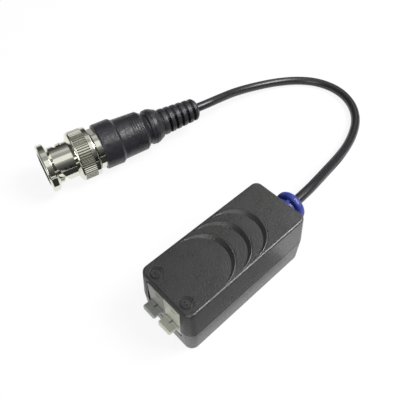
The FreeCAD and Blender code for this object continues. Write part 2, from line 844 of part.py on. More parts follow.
def coax_core_lead():
    """The insulated inner conductor, from the cut cable down to the board."""
    start = V(grommet_inner_end(), core_lead_y, gland_height)
    over = V(lead_landing_x, core_lead_y, gland_height)
    landing = V(lead_landing_x, core_lead_y, board_top)
    return tube_along([start, over, landing], core_lead_diameter)


def coax_braid_lead():
    """The screen, twisted into one strand beside the core."""
    start = V(grommet_inner_end(), braid_lead_offset, gland_height)
    bend = start - LENGTHWAYS * braid_lead_straight
    over = V(lead_landing_x, braid_lead_y, gland_height)
    landing = V(lead_landing_x, braid_lead_y, board_top)
    return tube_along([start, bend, over, landing], braid_lead_diameter)


# Bayonet plug: its pieces are turned about the vertical axis, rim at zero, then laid down
def laid_down(shape):
    """A plug piece moved from the upright drawing to its place, rolled and pointing along the heading."""
    heading = math.radians(plug_heading)
    direction = V(math.cos(heading), math.sin(heading), 0)
    roll = FreeCAD.Placement(V(0, 0, 0), FreeCAD.Rotation(UP, plug_roll))
    lay = FreeCAD.Placement(V(plug_rim_x, plug_rim_y, plug_height), FreeCAD.Rotation(UP, direction))
    return placed(shape, lay.multiply(roll))


def placed(shape, placement):
    """A copy of a shape with one more placement on top of its own."""
    moved = shape.copy()
    moved.Placement = placement.multiply(moved.Placement)
    return moved


def bayonet_slot():
    """Cutter for one slot: channel inside the rim, helical climb and a round seat for the lug."""
    inner = shell_diameter / 2 + slot_shell_gap
    outer = neck_diameter / 2 + slot_lug_space
    half = slot_width / 2
    mouth = block(inner, outer, -half, half, -overshoot, slot_entry)
    pitch = slot_rise * 360.0 / slot_turn
    helix = Part.makeHelix(pitch, slot_rise, neck_diameter / 2)
    profile = Part.makePolygon([
        V(inner, 0, -half), V(outer, 0, -half), V(outer, 0, half), V(inner, 0, half), V(inner, 0, -half)])
    climb = Part.Wire(helix.Edges).makePipeShell([profile], True, True)
    climb.translate(V(0, 0, slot_entry))
    start = Part.makeCylinder(half, outer - inner, V(inner, 0, slot_entry), LENGTHWAYS)
    seat = Part.makeCylinder(slot_lock_diameter / 2, outer - inner, V(inner, 0, slot_entry + slot_rise),
                             LENGTHWAYS)
    seat.rotate(V(0, 0, 0), UP, slot_turn)
    return mouth.fuse(start).fuse(climb).fuse(seat)


def knurled_band(radius):
    """A prism with straight pointed grooves all round, as long as the knurl."""
    points = []
    step = 2 * math.pi / knurl_ridges
    for index in range(knurl_ridges):
        ridge = ((-knurl_crest / 2, radius), (knurl_crest / 2, radius), (0.5, radius - knurl_depth))
        for share, size in ridge:
            angle = step * (index + share)
            points.append(V(size * math.cos(angle), size * math.sin(angle), knurl_start))
    face = Part.Face(Part.makePolygon(points + [points[0]]))
    return face.extrude(UP * (knurl_end - knurl_start))


def coupling_rear_face():
    """Station where the coupling sleeve's rear wall begins inside."""
    return collar_start + collar_length + wave_gap + spring_space() + washer_thickness


def spring_space():
    """Length left for the wave spring, with the coupling's travel and a reserve."""
    return coupling_travel + wave_thickness + travel_reserve


def coupling_sleeve():
    """Closed rim, thin neck with two bayonet slots, and a knurled grip."""
    radius = coupling_diameter / 2
    rim = rim_diameter / 2
    neck = neck_diameter / 2
    core = radius - 2 * knurl_depth
    rear_bore = shank_diameter / 2 + shank_clearance
    outside = turned([
        (0, 0), (0, rim - rim_chamfer, rim_round), (rim_chamfer, rim, rim_round),
        (rim_thickness, rim, rim_round), (rim_thickness + rim_skirt, neck), (shoulder_start, neck),
        (shoulder_start + shoulder_length, radius, coupling_round), (knurl_start, radius),
        (knurl_start, core), (knurl_end, core), (knurl_end, radius), (coupling_length, radius, coupling_round),
        (coupling_length, 0)])
    inside = turned([
        (-overshoot, 0), (-overshoot, neck_bore / 2), (coupling_rear_face(), neck_bore / 2),
        (coupling_rear_face(), rear_bore), (coupling_length + overshoot, rear_bore),
        (coupling_length + overshoot, 0)])
    sleeve = outside.fuse(knurled_band(radius)).cut(inside)
    for turn in (0, 180):
        slot = bayonet_slot()
        slot.rotate(V(0, 0, 0), UP, turn)
        sleeve = sleeve.cut(slot)
    return laid_down(sleeve)


def bnc_body():
    """Contact shell, collar that carries the gasket and the coupling, and the shank into the boot."""
    shell = shell_diameter / 2
    collar = neck_bore / 2 - collar_clearance
    shank = shank_diameter / 2
    seat = shell - gasket_seat_depth
    collar_end = collar_start + collar_length
    return laid_down(turned([
        (shell_start, shell_bore / 2), (shell_start, shell), (collar_start - gasket_seat, shell),
        (collar_start - gasket_seat, seat), (collar_start, seat), (collar_start, collar),
        (collar_end, collar), (collar_end, shank), (shank_end, shank), (shank_end, shank_bore / 2),
        (shell_depth, shank_bore / 2), (shell_depth, shell_bore / 2)]))


def gasket():
    """A rubber ring on the contact shell's seat, against the collar."""
    inner = shell_diameter / 2 - gasket_seat_depth + gasket_grip
    outer = neck_bore / 2 - gasket_clearance
    start = collar_start - gasket_thickness
    return laid_down(turned([
        (start, inner), (start, outer), (collar_start, outer), (collar_start, inner)]))


def wave_spring():
    """A thin ring bent into waves, between the collar and the thrust washer."""
    inner = shank_diameter / 2 + 2 * washer_clearance
    outer = neck_bore / 2 - 2 * washer_clearance
    low = collar_start + collar_length + wave_gap
    swing = (spring_space() - wave_thickness - 2 * wave_gap) / 2
    middle = low + wave_gap + swing
    steps = 12 * wave_count
    rings = []
    for size in (inner, outer):
        points = []
        for index in range(steps):
            angle = 2 * math.pi * index / steps
            points.append(V(size * math.cos(angle), size * math.sin(angle),
                            middle + swing * math.cos(wave_count * angle)))
        curve = Part.BSplineCurve()
        curve.interpolate(points, PeriodicFlag=True)
        rings.append(Part.Wire(curve.toShape()))
    surface = Part.makeRuledSurface(rings[0], rings[1])
    return laid_down(surface.extrude(UP * wave_thickness))


def thrust_washer():
    """The flat ring between the wave spring and the coupling's rear wall."""
    inner = shank_diameter / 2 + washer_clearance
    outer = neck_bore / 2 - washer_clearance
    stop = coupling_rear_face() - wave_gap
    start = stop - washer_thickness
    return laid_down(turned([(start, inner), (start, outer), (stop, outer), (stop, inner)]))


def bnc_backnut():
    """A ring with two flats, pressed on the shank behind the coupling."""
    inner = shank_diameter / 2 + fit_gap
    outer = backnut_diameter / 2
    nut = turned([(backnut_start, inner), (backnut_start, outer), (backnut_end, outer), (backnut_end, inner)])
    half = backnut_flat / 2
    slab = block(-outer, outer, -half, half, backnut_start, backnut_end)
    return laid_down(nut.common(slab))


def insulator():
    """The white core of the contact shell, stepped down into the shank."""
    outer = shell_bore / 2 - fit_gap
    rear = shank_bore / 2 - fit_gap
    bore = pin_shoulder_diameter / 2 + insulator_bore_gap
    return laid_down(turned([
        (insulator_front, bore), (insulator_front, outer), (shell_depth - fit_gap, outer),
        (shell_depth - fit_gap, rear), (pin_end - pin_tail, rear), (pin_end - pin_tail, bore)]))


def center_pin():
    """Tapered contact with a shoulder flush with the insulator's front."""
    shoulder = insulator_front
    return laid_down(turned([
        (pin_tip, 0), (pin_tip, pin_tip_diameter / 2), (pin_tip + pin_taper, pin_diameter / 2),
        (shoulder, pin_diameter / 2), (shoulder, pin_shoulder_diameter / 2),
        (pin_end, pin_shoulder_diameter / 2), (pin_end, 0)]))


def boot_bulb():
    """Profile points of the waist and of the bulb, with the fine groove round it."""
    radius = boot_bulb_diameter / 2
    line_start = boot_bulb_at - boot_line_width
    return [(boot_waist_at, boot_waist_diameter / 2, boot_soft_round),
            (boot_bulb_front, radius - boot_line_depth, boot_soft_round),
            (line_start, radius - boot_line_depth / 2), (line_start, radius - boot_line_depth),
            (boot_bulb_at, radius - boot_line_depth), (boot_bulb_at, radius),
            (boot_bulb_at + boot_step, radius - boot_line_depth, boot_step),
            (boot_bulb_fall, boot_bulb_rear / 2, boot_soft_round)]


def boot_ribs():
    """Profile points of the rounded ribs, each between two narrow valleys."""
    points = []
    for index in range(boot_rib_count):
        share = index / (boot_rib_count - 1)
        rib = (boot_rib_front + (boot_rib_rear - boot_rib_front) * share) / 2
        valley = boot_rib_start + index * boot_rib_pitch
        end = valley + boot_rib_pitch - boot_rib_flank
        if index == boot_rib_count - 1:
            end = boot_end - boot_end_slope
        points += [(valley, rib - boot_rib_depth, boot_line_depth),
                   (valley + boot_rib_flank, rib, boot_rib_round), (end, rib, boot_rib_round)]
    return points


def plug_core_lead():
    """The insulated inner conductor, from the pin to the cable's cut end."""
    return laid_down(Part.makeCylinder(core_lead_diameter / 2, cable_cut - pin_end, V(0, 0, pin_end)))


def plug_screen():
    """The cable's screen, over the inner conductor and widened into the shank's bore."""
    narrow = screen_diameter / 2
    wide = shank_bore / 2 - screen_gap
    start = shank_end - screen_reach
    flare_end = shank_end + screen_flare
    return laid_down(turned([
        (start, wide - screen_thickness), (start, wide), (shank_end, wide), (flare_end, narrow),
        (cable_cut, narrow), (cable_cut, narrow - screen_thickness), (flare_end, narrow - screen_thickness),
        (shank_end, wide - screen_thickness)]))


def bnc_boot():
    """Moulded strain relief: gripped collar, grooved barrel, bulb, and ribs slotted from two sides."""
    inner = shank_diameter / 2 + fit_gap
    bore = cable_radius + cable_bore_gap
    barrel_start = boot_collar_end + boot_step
    slope = (boot_barrel_front - boot_barrel_rear) / 2 / (boot_barrel_end - barrel_start)
    profile = [(backnut_end, inner), (backnut_end, boot_front_diameter / 2, boot_collar_round),
               (boot_collar_end, boot_collar_diameter / 2, boot_collar_round),
               (barrel_start, boot_barrel_front / 2, boot_soft_round)]
    for index in range(boot_groove_count):
        at = boot_groove_start + index * boot_groove_pitch
        radius = boot_barrel_front / 2 - slope * (at - barrel_start)
        profile += [(at, radius), (at + boot_groove_width / 2, radius - boot_groove_depth, boot_line_depth),
                    (at + boot_groove_width, radius)]
    profile += [(boot_barrel_end, boot_barrel_rear / 2, boot_soft_round)] + boot_bulb() + boot_ribs()
    screen = screen_diameter / 2 + screen_gap
    profile += [(boot_end, boot_end_diameter / 2), (boot_end, bore), (cable_cut, bore), (cable_cut, screen),
                (shank_end + screen_flare, screen), (shank_end + fit_gap, shank_bore / 2),
                (shank_end + fit_gap, inner)]
    boot = turned(profile)
    half = boot_slot_width / 2
    for index in range(1, boot_rib_count):
        valley = boot_rib_start + index * boot_rib_pitch
        for side in (0, 180):
            slot = turned([(valley - half, boot_slot_radius), (valley - half, boot_rib_front),
                           (valley + half, boot_rib_front), (valley + half, boot_slot_radius)],
                          span=boot_slot_span)
            slot.rotate(V(0, 0, 0), UP, boot_slot_facing - plug_roll - boot_slot_span / 2 + side)
            boot = boot.cut(slot)
    return laid_down(boot)


def pieces():
    """Every piece by its node's name."""
    made = {
        "housing_cover": housing_cover(),
        "housing_base": housing_base(),
        "circuit_board": circuit_board(),
        "transformer_core": transformer_core(),
        "transformer_winding": transformer_winding(),
        "surge_suppressor": surge_suppressor(),
        "chip_parts": chip_parts(),
        "cable_grommet": cable_grommet(),
        "cable": cable(),
        "coax_core_lead": coax_core_lead(),
        "coax_braid_lead": coax_braid_lead(),
        "coupling_sleeve": coupling_sleeve(),
        "bnc_body": bnc_body(),
        "gasket": gasket(),
        "wave_spring": wave_spring(),
        "thrust_washer": thrust_washer(),
        "bnc_backnut": bnc_backnut(),
        "insulator": insulator(),
        "center_pin": center_pin(),
        "plug_core_lead": plug_core_lead(),
        "plug_screen": plug_screen(),
        "bnc_boot": bnc_boot(),
    }
    for side in module_centres:
        made["terminal_module_" + side] = terminal_module(side)
        made["push_lever_" + side] = push_lever(side)
        made["clamp_spring_" + side] = clamp_spring(side)
        made["contact_pin_" + side] = contact_pin(side)
    return made


os.makedirs("parts", exist_ok=True)
for node, shape in pieces().items():
    shape.translate(V(housing_shift, 0, 0))
    shape.exportStep("parts/" + node + ".step")
    print(node, "solids", len(shape.Solids), "valid", shape.isValid(), "volume %.1f" % shape.Volume)
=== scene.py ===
import json
import math

import bmesh
import bpy
from mathutils import Matrix, Vector


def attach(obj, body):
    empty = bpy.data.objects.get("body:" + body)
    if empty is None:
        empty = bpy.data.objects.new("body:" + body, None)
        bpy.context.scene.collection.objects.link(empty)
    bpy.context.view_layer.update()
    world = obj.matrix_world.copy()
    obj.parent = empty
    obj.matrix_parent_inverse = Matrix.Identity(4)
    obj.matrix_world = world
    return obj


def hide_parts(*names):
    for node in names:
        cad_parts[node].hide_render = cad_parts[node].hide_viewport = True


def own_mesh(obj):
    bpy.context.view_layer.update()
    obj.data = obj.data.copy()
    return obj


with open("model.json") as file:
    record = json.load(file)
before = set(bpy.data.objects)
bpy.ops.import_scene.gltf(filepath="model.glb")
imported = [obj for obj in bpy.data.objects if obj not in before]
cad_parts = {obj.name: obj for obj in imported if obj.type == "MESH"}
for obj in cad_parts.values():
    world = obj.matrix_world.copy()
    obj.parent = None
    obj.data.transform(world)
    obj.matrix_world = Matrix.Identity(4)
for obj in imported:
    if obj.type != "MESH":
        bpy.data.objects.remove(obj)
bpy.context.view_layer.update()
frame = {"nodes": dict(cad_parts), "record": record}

# Passive video balun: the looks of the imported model. Lengths are metres unless a name says otherwise.

MM = 0.001

# The photograph's camera
camera_place = Vector((-44.5, -40.1, 105.1)) * MM
camera_heading = 42.6           # degrees from +Y towards +X
camera_dip = 51.3               # degrees below the horizon
camera_roll = -0.96             # degrees about its line of sight
camera_focal_mm = 42.0
camera_sensor_mm = 36.0
camera_shift = (-0.0155, -0.001)
camera_nearest = 1 * MM
camera_farthest = 10.0

# The cable's route in the row frame, as in the construction, in millimetres
cable_route_mm = [
    (14.911, 0.0, 8.4),
    (27.525, 0.0, 8.4),
    (40.175, 2.2, 5.8),
    (52.675, 4.5, 3.2),
    (61.975, 7.2, 2.0),
    (70.375, 11.3, 1.5),
    (75.975, 17.2, 1.45),
    (78.475, 24.4, 1.5),
    (77.275, 32.0, 1.45),
    (72.775, 38.0, 1.5),
    (65.575, 42.6, 1.9),
    (56.775, 45.4, 3.0),
    (48.975, 46.5, 4.5),
    (41.775, 46.3, 6.1),
    (34.636, 46.179, 7.4),
    (27.208, 47.785, 7.4),
]
cable_diameter = 2.8 * MM
cable_run_steps = 16            # between two points of the route
cable_round_steps = 8           # added to each half of its round section

# The plug's axis in the row frame
plug_rim = Vector((-17.265, 57.4, 7.4)) * MM
plug_heading = math.radians(-12.2)

# The polarity marks on the lid, inside the ring grooves of the construction
mark_x = -18.175 * MM
mark_spread = 4.9 * MM
lid_top = 16.3 * MM
mark_rise = 0.16 * MM
mark_ring_radius = 1.12 * MM
mark_ring_width = 0.16 * MM
mark_ring_steps = 48
sign_length = 1.25 * MM
sign_width = 0.30 * MM

# The section of a mark's ring, in shares of its width and its rise
ring_section = ((-0.5, 0.0), (-0.25, 1.0), (0.25, 1.0), (0.5, 0.0))

# Rays that look for grooves and for hard edges
groove_rays = 8
edge_rays = 6

# The floor, and the dark cards above it that only reflections show
floor_reach = 1.5               # from its middle to each side
floor_paper = 0.86              # its colour under the lamps
floor_white = 0.88              # the share of it that is white to the camera, to gloss and to glass
card_rise_mm = 0.2

# Brightness of the room from the horizon, at 0, to overhead, at 1
room_beyond = (
    (0.0, 0.50), (0.08, 0.40), (0.16, 0.10), (0.22, 0.05), (0.42, 0.08), (0.56, 0.24),
    (0.66, 0.30), (0.70, 0.65), (0.84, 0.65), (0.90, 0.42), (1.0, 0.40))
room_behind_camera = (
    (0.0, 0.03), (0.12, 0.06), (0.30, 0.12), (0.42, 0.26), (0.52, 0.45), (0.56, 1.05),
    (0.84, 1.05), (0.88, 0.42), (1.0, 0.40))
room_seam = 0.08                # half the band in which one side turns into the other

# The middle of the object on the floor, which the lamps look at
lamp_target = Vector((0.025, 0.025, 0.0))


# Colours
def opaque(red, green, blue):
    """A colour that hides what is behind it."""
    return (red, green, blue, 1.0)


def grey(level):
    """An opaque grey of that brightness."""
    return opaque(level, level, level)


def shaded(colour, share):
    """An opaque colour brought down to that share of its brightness."""
    return opaque(*[share * part for part in colour[:3]])


# Socket arithmetic for the shaders
class Link:
    """One output of a shader node. Arithmetic on it adds Math nodes to the same node tree."""

    def __init__(self, shading, socket):
        self.shading = shading
        self.socket = socket

    def math(self, operation, *values):
        """A Math node on these values and links."""
        return self.shading.add("Math", {"operation": operation}, dict(enumerate(values)))

    def __add__(self, other):
        return self.math("ADD", self, other)

    def __radd__(self, other):
        return self.math("ADD", other, self)

    def __sub__(self, other):
        return self.math("SUBTRACT", self, other)

    def __rsub__(self, other):
        return self.math("SUBTRACT", other, self)

    def __mul__(self, other):
        return self.math("MULTIPLY", self, other)

    def __rmul__(self, other):
        return self.math("MULTIPLY", other, self)

    def __truediv__(self, other):
        return self.math("DIVIDE", self, other)

    def __rtruediv__(self, other):
        return self.math("DIVIDE", other, self)

    def clamped(self):
        """The value held from 0 to 1."""
        return self.math("MAXIMUM", self.math("MINIMUM", self, 1.0), 0.0)

    def between(self, low, high):
        """A share that goes from 0 at the low value to 1 at the high one."""
        return ((self - low) / (high - low)).clamped()

    def output(self, name):
        """Another output of the same node."""
        return Link(self.shading, self.socket.node.outputs[name])


class Shading:
    """The nodes of one material, or of the room, while they are made."""

    def __init__(self, owner, ending):
        owner.use_nodes = True
        self.owner = owner
        self.tree = owner.node_tree
        self.tree.nodes.clear()
        self.ending = self.tree.nodes.new("ShaderNode" + ending)

    def add(self, kind, settings=None, sockets=None, take=0):
        """Adds a node: first its settings, then the values or links of its sockets."""
        node = self.tree.nodes.new("ShaderNode" + kind)
        for name, value in (settings or {}).items():
            if name == "stops":
                set_stops(node.color_ramp, value)
            else:
                setattr(node, name, value)
        for name, value in (sockets or {}).items():
            if isinstance(value, Link):
                self.tree.links.new(value.socket, node.inputs[name])
            else:
                node.inputs[name].default_value = value
        return Link(self, node.outputs[take])

    def greys(self, value, stops):
        """A grey that follows (place, brightness) stops as the value goes from 0 to 1."""
        return self.add("ValToRGB", {"stops": stops}, {"Fac": value}, take="Color")

    def blend(self, share, low, high):
        """One colour turning into another as the share goes from 0 to 1."""
        return self.add("Mix", {"data_type": "RGBA"}, {"Factor": share, 6: low, 7: high}, take=2)

    def end_in(self, shader):
        """Ends the nodes in that shader, and gives what they belong to."""
        self.tree.links.new(shader.socket, self.ending.inputs["Surface"])
        return self.owner


def set_stops(ramp, stops):
    """Replaces a ramp's stops by (place, brightness) pairs."""
    while len(ramp.elements) > 1:
        ramp.elements.remove(ramp.elements[-1])
    for index, (place, brightness) in enumerate(stops):
        element = ramp.elements[0] if index == 0 else ramp.elements.new(place)
        element.position = place
        element.color = grey(brightness)


class Finish(Shading):
    """One material of the object or the studio."""

    def __init__(self, name):
        super().__init__(bpy.data.materials.new(name), "OutputMaterial")

    def millimetres(self):
        """The place on the piece, in millimetres of the row frame."""
        place = self.add("TexCoord", take="Object")
        return self.add("VectorMath", {"operation": "SCALE"}, {"Vector": place, "Scale": 1 / MM})

    def along_plug(self):
        """The place seen from the plug: X along its axis from the front rim, in millimetres."""
        turn = (0, 0, plug_heading)
        sockets = {"Vector": self.millimetres(), "Location": plug_rim / MM, "Rotation": turn}
        return self.add("Mapping", {"vector_type": "TEXTURE"}, sockets)

    def stretched(self, place, factors):
        """The place times a factor for each axis, which draws a pattern out into lines."""
        return self.add("VectorMath", {"operation": "MULTIPLY"}, {0: place, 1: factors})

    def noise(self, size, detail=2.0, place=None, roughness=0.5):
        """Smooth noise from 0 to 1 in patches of about that size, in millimetres or the place's unit."""
        where = place or self.millimetres()
        sockets = {"Vector": where, "Scale": 1 / size, "Detail": detail, "Roughness": roughness}
        return self.add("TexNoise", None, sockets, take="Fac")

    def bands(self, direction, scale, distortion, detail=2.0):
        """Wavy bands from 0 to 1, which follow each other in that direction."""
        settings = {"wave_type": "BANDS", "bands_direction": direction}
        where = self.millimetres()
        sockets = {"Vector": where, "Scale": scale, "Distortion": distortion, "Detail": detail}
        return self.add("TexWave", settings, sockets, take="Fac")

    def openness(self, reach):
        """How open a place is within that reach, from 0 in a narrow groove to 1 on a free face."""
        return self.add("AmbientOcclusion", {"samples": groove_rays}, {"Distance": reach}, take="AO")

    def rounded(self, radius):
        """A normal that softens hard edges, as a mould does."""
        return self.add("Bevel", {"samples": edge_rays}, {"Radius": radius})

    def bump(self, height, depth, normal=None):
        """A normal for a height from 0 to 1 that stands for a depth."""
        sockets = {"Height": height, "Distance": depth, "Strength": 1.0}
        if normal:
            sockets["Normal"] = normal
        return self.add("Bump", None, sockets)

    def surface(self, **sockets):
        """Ends in the Principled shader, with names such as Base_Color for its sockets."""
        named = {name.replace("_", " "): value for name, value in sockets.items()}
        return self.end_in(self.add("BsdfPrincipled", None, named))


# Finishes
def moulded_plastic(name, dark, light, roughness, grain_mm, relief_mm, edge_mm, gloss=0.5, painted_groove_shade=0.6):
    """Satin moulded plastic: faint flow marks, a fine spark-eroded grain, and painted shade that darkens
    narrow grooves.
    """
    finish = Finish(name)
    flow = finish.noise(9.0, detail=3.0)
    cloud = finish.noise(2.2)
    grain = finish.noise(grain_mm, detail=3.0, roughness=0.65)
    mottle = flow * 0.45 + cloud * 0.15 + grain * 0.4
    unshaded_colour = finish.blend(mottle.between(0.35, 0.65), dark, light)
    # Painted shade: narrow grooves and tight corners get a darker colour from the occlusion mask,
    # standing in for the shadow that falls there.
    free = finish.openness(reach=0.7 * MM).between(0.35, 0.95)
    colour = finish.blend(free, shaded(dark, painted_groove_shade), unshaded_colour)
    normal = finish.bump(grain, relief_mm * MM, finish.rounded(edge_mm * MM))
    shine = roughness - 0.08 + flow * 0.08 + grain * 0.10
    return finish.surface(Base_Color=colour, Roughness=shine, Normal=normal, Specular_IOR_Level=gloss)


def soft_rubber(name, dark, light, roughness, edge_mm):
    """Soft moulding compound: cloudy colour, an orange-peel surface and dust-fine pores."""
    finish = Finish(name)
    cloud = finish.noise(4.0, detail=3.0)
    peel = finish.noise(1.1, detail=3.0)
    pores = finish.noise(0.14)
    colour = finish.blend(cloud, dark, light)
    shine = roughness + (peel - 0.5) * 0.3
    normal = finish.bump(peel * 0.8 + pores * 0.2, 0.18 * MM, finish.rounded(edge_mm * MM))
    return finish.surface(Base_Color=colour, Roughness=shine, Normal=normal)


def bright_nickel(name):
    """Nickel plate over turned brass: turning lines, a warm cast, handling marks, and painted shade that
    darkens its grooves.
    """
    finish = Finish(name)
    place = finish.along_plug()
    turned = finish.stretched(place, (14.0, 0.35, 0.35))
    lines = finish.noise(1.0, place=turned)
    smudge = finish.noise(2.6, detail=4.0, place=place)
    warmth = finish.noise(5.0, place=place)
    unshaded_colour = finish.blend(warmth, opaque(0.77, 0.78, 0.70), opaque(0.70, 0.695, 0.60))
    # Painted shade: the grooves and knurl valleys take a dull dark colour from the occlusion mask,
    # standing in for the shadow that falls there.
    free = finish.openness(reach=0.6 * MM).between(0.40, 0.70)
    colour = finish.blend(free, opaque(0.24, 0.23, 0.16), unshaded_colour)
    shine = 0.03 + smudge * 0.06 + lines * 0.03
    normal = finish.bump(lines, 0.003 * MM, finish.rounded(0.04 * MM))
    return finish.surface(Base_Color=colour, Metallic=1.0, Roughness=shine, Normal=normal)


def plain_metal(name, colour, roughness):
    """Formed sheet metal with the drawn lines of the strip."""
    finish = Finish(name)
    drawn = finish.stretched(finish.millimetres(), (0.6, 12.0, 0.6))
    lines = finish.noise(1.0, place=drawn)
    tint = finish.blend(lines, colour, shaded(colour, 0.8))
    shine = roughness + lines * 0.12
    normal = finish.bump(lines, 0.006 * MM)
    return finish.surface(Base_Color=tint, Metallic=1.0, Roughness=shine, Normal=normal)


def glossy_jacket(name):
    """Glossy jacket with the faint lengthways drag lines of extrusion and a little dust."""
    finish = Finish(name)
    extruded = finish.stretched(finish.add("TexCoord", take="UV"), (3.0, 26.0, 1.0))
    drag = finish.noise(1.0, place=extruded)
    dust = finish.noise(0.6, detail=3.0)
    speck = (dust - 0.62).clamped() * 4.0
    colour = finish.blend(speck.clamped(), opaque(0.016, 0.016, 0.018), opaque(0.060, 0.059, 0.062))
    shine = 0.24 + drag * 0.10 + speck * 0.1
    normal = finish.bump(drag, 0.012 * MM)
    return finish.surface(Base_Color=colour, Roughness=shine, Normal=normal)


def solder_mask(name):
    """Green mask over woven glass, with the weave just showing."""
    finish = Finish(name)
    warp = finish.bands("X", scale=1.6, distortion=0.6, detail=1.0)
    weft = finish.bands("Y", scale=1.6, distortion=0.6, detail=1.0)
    weave = warp * 0.5 + weft * 0.5
    colour = finish.blend(weave, opaque(0.012, 0.11, 0.045), opaque(0.02, 0.15, 0.06))
    shine = 0.32 + weave * 0.08
    normal = finish.bump(weave, 0.01 * MM)
    return finish.surface(Base_Color=colour, Roughness=shine, Normal=normal)


def wound_wire(name):
    """Enamelled copper, darker where the enamel is thick."""
    finish = Finish(name)
    enamel = finish.noise(0.5)
    colour = finish.blend(enamel, opaque(0.62, 0.25, 0.09), opaque(0.42, 0.13, 0.045))
    shine = 0.22 + enamel * 0.15
    normal = finish.bump(enamel, 0.01 * MM)
    return finish.surface(Base_Color=colour, Metallic=0.85, Roughness=shine, Normal=normal)


def twisted_strands(name):
    """A braid drawn together into one twisted strand."""
    finish = Finish(name)
    strands = finish.bands("DIAGONAL", scale=1.4, distortion=0.8)
    colour = finish.blend(strands, opaque(0.35, 0.30, 0.24), opaque(0.75, 0.68, 0.58))
    shine = 0.32 - strands * 0.1
    normal = finish.bump(strands, 0.06 * MM)
    return finish.surface(Base_Color=colour, Metallic=1.0, Roughness=shine, Normal=normal)


# For the plastics, the last setting is the painted groove shade: the share of the dark colour left in the
# narrowest grooves.
finishes = {
    "housing": moulded_plastic(
        "housing_plastic", opaque(0.007, 0.012, 0.006), opaque(0.030, 0.026, 0.031),
        roughness=0.28, grain_mm=0.35, relief_mm=0.085, edge_mm=0.05, gloss=0.9, painted_groove_shade=0.1),
    "terminal_grey": moulded_plastic(
        "grey_terminal_plastic", opaque(0.285, 0.295, 0.270), opaque(0.335, 0.342, 0.315),
        roughness=0.40, grain_mm=0.2, relief_mm=0.006, edge_mm=0.07, painted_groove_shade=0.15),
    "terminal_ivory": moulded_plastic(
        "pale_terminal_plastic", opaque(0.455, 0.470, 0.395), opaque(0.535, 0.550, 0.470),
        roughness=0.38, grain_mm=0.2, relief_mm=0.006, edge_mm=0.07, painted_groove_shade=0.15),
    "lever_grey": moulded_plastic(
        "grey_lever_plastic", opaque(0.38, 0.39, 0.36), opaque(0.43, 0.44, 0.41),
        roughness=0.38, grain_mm=0.2, relief_mm=0.006, edge_mm=0.07),
    "lever_ivory": moulded_plastic(
        "pale_lever_plastic", opaque(0.64, 0.66, 0.56), opaque(0.73, 0.75, 0.65),
        roughness=0.36, grain_mm=0.2, relief_mm=0.006, edge_mm=0.07),
    "nickel": bright_nickel("bright_nickel"),
    "boot_rubber": soft_rubber(
        "boot_rubber", opaque(0.010, 0.0098, 0.0125), opaque(0.028, 0.0275, 0.034),
        roughness=0.34, edge_mm=0.10),
    "cable_jacket": glossy_jacket("cable_jacket"),
    "grommet_blue": soft_rubber(
        "blue_bush", opaque(0.018, 0.029, 0.22), opaque(0.035, 0.051, 0.31),
        roughness=0.34, edge_mm=0.10),
    "gasket_rubber": soft_rubber(
        "red_gasket", opaque(0.20, 0.035, 0.02), opaque(0.28, 0.05, 0.03),
        roughness=0.5, edge_mm=0.05),
    "spring_steel": plain_metal("spring_steel", opaque(0.58, 0.57, 0.55), roughness=0.25),
    "tin_contact": plain_metal("tinned_contact", opaque(0.68, 0.67, 0.63), roughness=0.3),
    "board": solder_mask("solder_mask"),
    "ferrite": moulded_plastic(
        "ferrite", opaque(0.022, 0.022, 0.023), opaque(0.045, 0.045, 0.046),
        roughness=0.6, grain_mm=0.25, relief_mm=0.03, edge_mm=0.1),
    "enamelled_wire": wound_wire("enamelled_wire"),
    "suppressor": moulded_plastic(
        "epoxy_coat", opaque(0.02, 0.06, 0.22), opaque(0.03, 0.08, 0.28),
        roughness=0.3, grain_mm=0.5, relief_mm=0.02, edge_mm=0.1),
    "chips": moulded_plastic(
        "chip_glaze", opaque(0.05, 0.045, 0.045), opaque(0.10, 0.09, 0.085),
        roughness=0.3, grain_mm=0.3, relief_mm=0.01, edge_mm=0.05),
    "lead_insulation": moulded_plastic(
        "lead_insulation", opaque(0.70, 0.70, 0.68), opaque(0.78, 0.78, 0.76),
        roughness=0.4, grain_mm=0.4, relief_mm=0.01, edge_mm=0.05),
    "braid": twisted_strands("twisted_braid"),
    "insulator": moulded_plastic(
        "insulator_plastic", opaque(0.70, 0.69, 0.64), opaque(0.80, 0.79, 0.75),
        roughness=0.42, grain_mm=0.3, relief_mm=0.008, edge_mm=0.06),
    "gold": plain_metal("gold_plate", opaque(0.86, 0.62, 0.24), roughness=0.16),
}

# The levers are moulded of a slightly lighter batch than their blocks
lever_finishes = {"push_lever_left": "lever_grey", "push_lever_right": "lever_ivory"}


def dress(nodes, parts):
    """Gives every node of the frame the finish of its material slot, or of its lever."""
    for part in parts:
        name = lever_finishes.get(part["node"], part["material_slot"])
        for slot in nodes[part["node"]].material_slots:
            slot.material = finishes[name]


def put_in_scene(name, data):
    """An object of the scene for that mesh, curve, camera or lamp."""
    piece = bpy.data.objects.new(name, data)
    bpy.context.scene.collection.objects.link(piece)
    return piece


# The spring, the cable and the polarity marks, which are made here
def make_spring(plain):
    """The wave spring as a piece of its own: a copy of its mesh on the balun, in place of the imported
    one, which is hidden.
    """
    spring = put_in_scene("wave_spring_strip", plain.data.copy())
    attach(spring, "balun")
    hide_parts("wave_spring")
    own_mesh(spring)
    return spring


def make_cable(spring):
    """The coaxial cable as one smooth curve from inside the bush to inside the boot."""
    curve = bpy.data.curves.new("cable_run", "CURVE")
    curve.dimensions = "3D"
    spline = curve.splines.new("NURBS")
    spline.points.add(len(cable_route_mm) - 1)
    for point, place in zip(spline.points, cable_route_mm):
        point.co = (*(Vector(place) * MM), 1.0)
    spline.order_u = 3
    spline.use_endpoint_u = True
    spline.resolution_u = cable_run_steps
    curve.bevel_depth = cable_diameter / 2
    curve.bevel_resolution = cable_round_steps
    curve.use_fill_caps = True
    curve.materials.append(finishes["cable_jacket"])
    cable = put_in_scene("cable_run", curve)
    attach(cable, "balun")
    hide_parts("cable")


